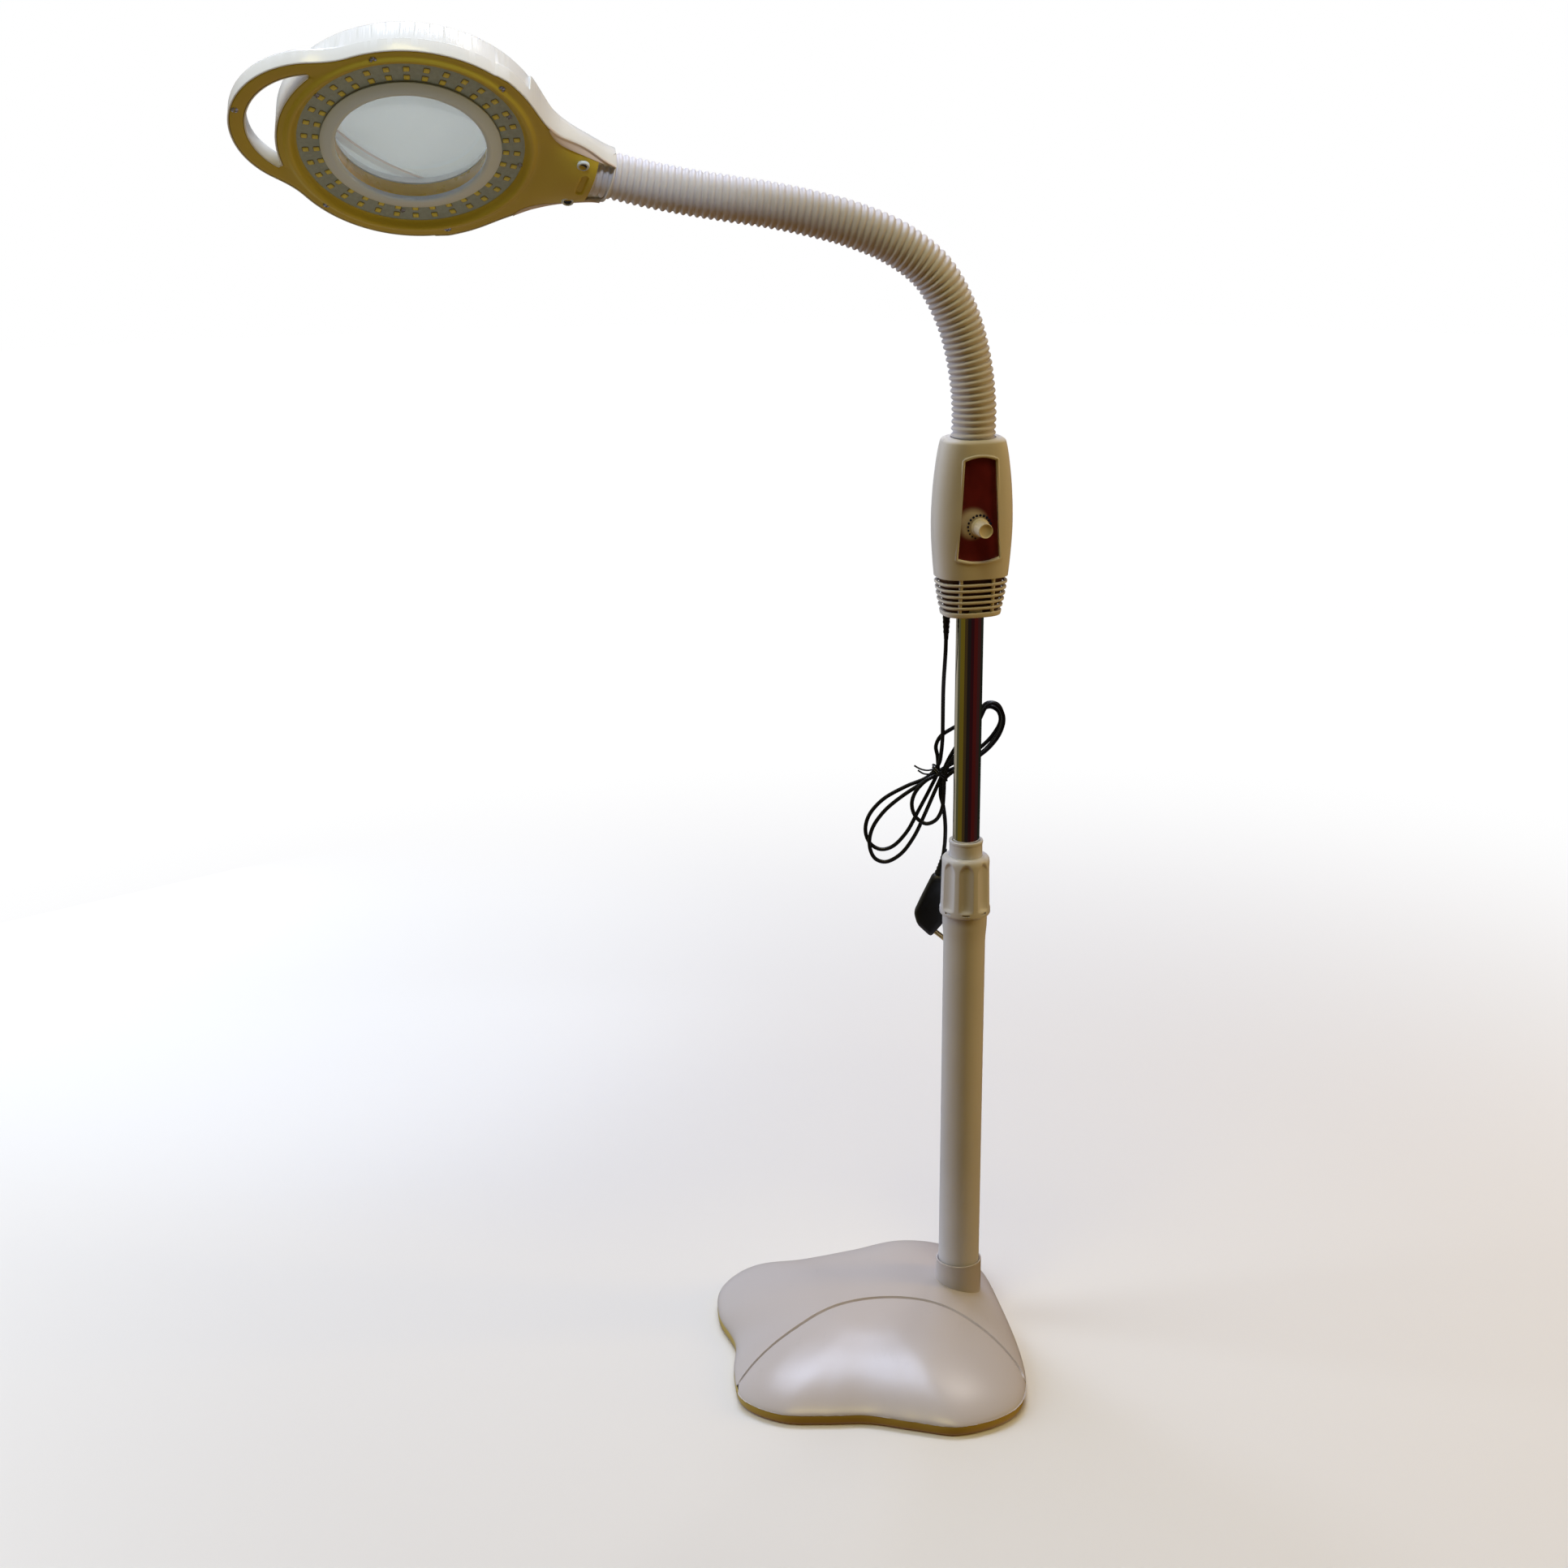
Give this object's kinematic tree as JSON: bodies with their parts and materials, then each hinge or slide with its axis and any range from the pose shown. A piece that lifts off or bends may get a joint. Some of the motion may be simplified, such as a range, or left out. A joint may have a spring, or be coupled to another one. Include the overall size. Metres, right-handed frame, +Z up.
{
  "type": "floor-standing magnifying lamp",
  "caption": "Floor-standing magnifying lamp: ring-lit lens head with a bow handle on a gooseneck, dimmer box, telescopic pole with twist lock and a weighted lobed base.",
  "frame": {"origin": "on the floor, on the pole's axis, at the underside of the foot below the pole", "axes": "+Z up along the pole; -Y towards the front, where the control panel faces (18 degrees to the right of it); +X to the right; the gooseneck reaches out towards -X"},
  "size_m": [0.595, 0.3025, 1.0805],
  "materials": {
    "base_grey": "satin moulded plastic, pale warm grey",
    "cast_iron": "rough casting",
    "rubber": "black, matte",
    "tube_grey": "satin extruded plastic, warm grey",
    "nut_grey": "satin moulded plastic",
    "chrome": "bright plated tube",
    "steel": "plain zinc-plated steel",
    "inner_grey": "moulded",
    "board_green": "coated circuit board",
    "box_ivory": "fine moulded texture, ivory",
    "panel_maroon": "fine satin, dark maroon",
    "knob_ivory": "ribbed, ivory",
    "sleeve_white": "ribbed flexible sleeve, off-white",
    "shell_white": "glossy white",
    "cover_khaki": "satin, khaki under warm light",
    "clear_plastic": "clear moulded ring",
    "lens_glass": "polished magnifying lens"
  },
  "bodies": {
    "stand": {"base_shell": "base_grey", "base_weight": "cast_iron", "base_cover": "rubber", "pole_bolt": "steel", "tube_plug": "inner_grey", "foot_pole": "rubber", "foot_back": "rubber", "foot_left": "rubber", "foot_front_left": "rubber", "foot_front_right": "rubber", "lower_tube": "tube_grey", "clamp_collet": "nut_grey"},
    "nut": {"lock_nut": "nut_grey"},
    "slider": {"guide_bush": "inner_grey"},
    "column": {"mast_tube": "chrome", "box_front_shell": "box_ivory", "box_rear_shell": "box_ivory", "box_screw_bottom": "steel", "box_screw_top": "steel", "control_panel": "panel_maroon", "potentiometer": "steel", "driver_board": "board_green", "mast_socket": "inner_grey", "neck_ferrule": "steel", "cord_gland": "rubber", "neck_sleeve_1": "sleeve_white", "neck_core_1": "steel", "cord_drop": "rubber", "cord_hank": "rubber", "cord_tail": "rubber", "plug": "rubber"},
    "knob": {"dimmer_knob": "knob_ivory", "pot_shaft": "steel"},
    "arm_2": {"neck_sleeve_2": "sleeve_white", "neck_core_2": "steel"},
    "arm_3": {"neck_sleeve_3": "sleeve_white", "neck_core_3": "steel"},
    "arm_4": {"neck_sleeve_4": "sleeve_white", "neck_core_4": "steel"},
    "arm_5": {"neck_sleeve_5": "sleeve_white", "neck_core_5": "steel"},
    "head": {"neck_sleeve_6": "sleeve_white", "neck_core_6": "steel", "head_lower_cover": "cover_khaki", "head_upper_shell": "shell_white", "led_board": "inner_grey", "light_cover": "clear_plastic", "lens_bezel": "shell_white", "lens": "lens_glass", "lens_retainer": "shell_white", "cover_hinge_pin": "steel", "neck_clamp": "steel", "head_screw_tip": "steel", "head_screw_handle_left": "steel", "head_screw_handle_right": "steel", "head_screw_neck_left": "steel", "head_screw_neck_right": "steel", "neck_screw_left": "steel", "neck_screw_right": "steel"},
    "flap": {"lens_cover": "shell_white"}
  },
  "joints": [
    {"name": "lock_nut_turn", "type": "hinge", "parent": "stand", "child": "nut", "pos_m": [0, 0, 0.4], "axis": [0, 0, 1], "range_deg": [0, 120]},
    {"name": "mast_slide", "type": "slide", "parent": "stand", "child": "slider", "axis": [0, 0, 1], "range_m": [-0.12, 0.12]},
    {"name": "mast_swivel", "type": "hinge", "parent": "slider", "child": "column", "pos_m": [0, 0, 0.25], "axis": [0, 0, 1], "range_deg": [-170, 170]},
    {"name": "dimmer_turn", "type": "hinge", "parent": "column", "child": "knob", "pos_m": [0.0063, -0.0194, 0.7016], "axis": [0.309, -0.9511, 0], "range_deg": [0, 280]},
    {"name": "neck_bend_1", "type": "hinge", "parent": "column", "child": "arm_2", "pos_m": [-0.00203, -0.00029, 0.81488], "axis": [-0.1392, 0.9903, 0], "range_deg": [-18, 18]},
    {"name": "neck_sway_2", "type": "hinge", "parent": "arm_2", "child": "arm_3", "pos_m": [-0.02541, -0.0035, 0.8855], "axis": [0.8403, 0.1181, 0.529], "range_deg": [-18, 18]},
    {"name": "neck_bend_3", "type": "hinge", "parent": "arm_3", "child": "arm_4", "pos_m": [-0.08436, -0.01179, 0.92883], "axis": [-0.1392, 0.9903, 0], "range_deg": [-18, 18]},
    {"name": "neck_sway_4", "type": "hinge", "parent": "arm_4", "child": "arm_5", "pos_m": [-0.15616, -0.02165, 0.94772], "axis": [0.1782, 0.025, 0.9837], "range_deg": [-18, 18]},
    {"name": "neck_bend_5", "type": "hinge", "parent": "arm_5", "child": "head", "pos_m": [-0.2296, -0.0305, 0.96007], "axis": [-0.1392, 0.9903, 0], "range_deg": [-18, 18]},
    {"name": "lens_cover_lift", "type": "hinge", "parent": "head", "child": "flap", "pos_m": [-0.34492, -0.05035, 1.00074], "axis": [-0.4009, 0.6123, -0.6815], "range_deg": [0, 110]}
  ]
}
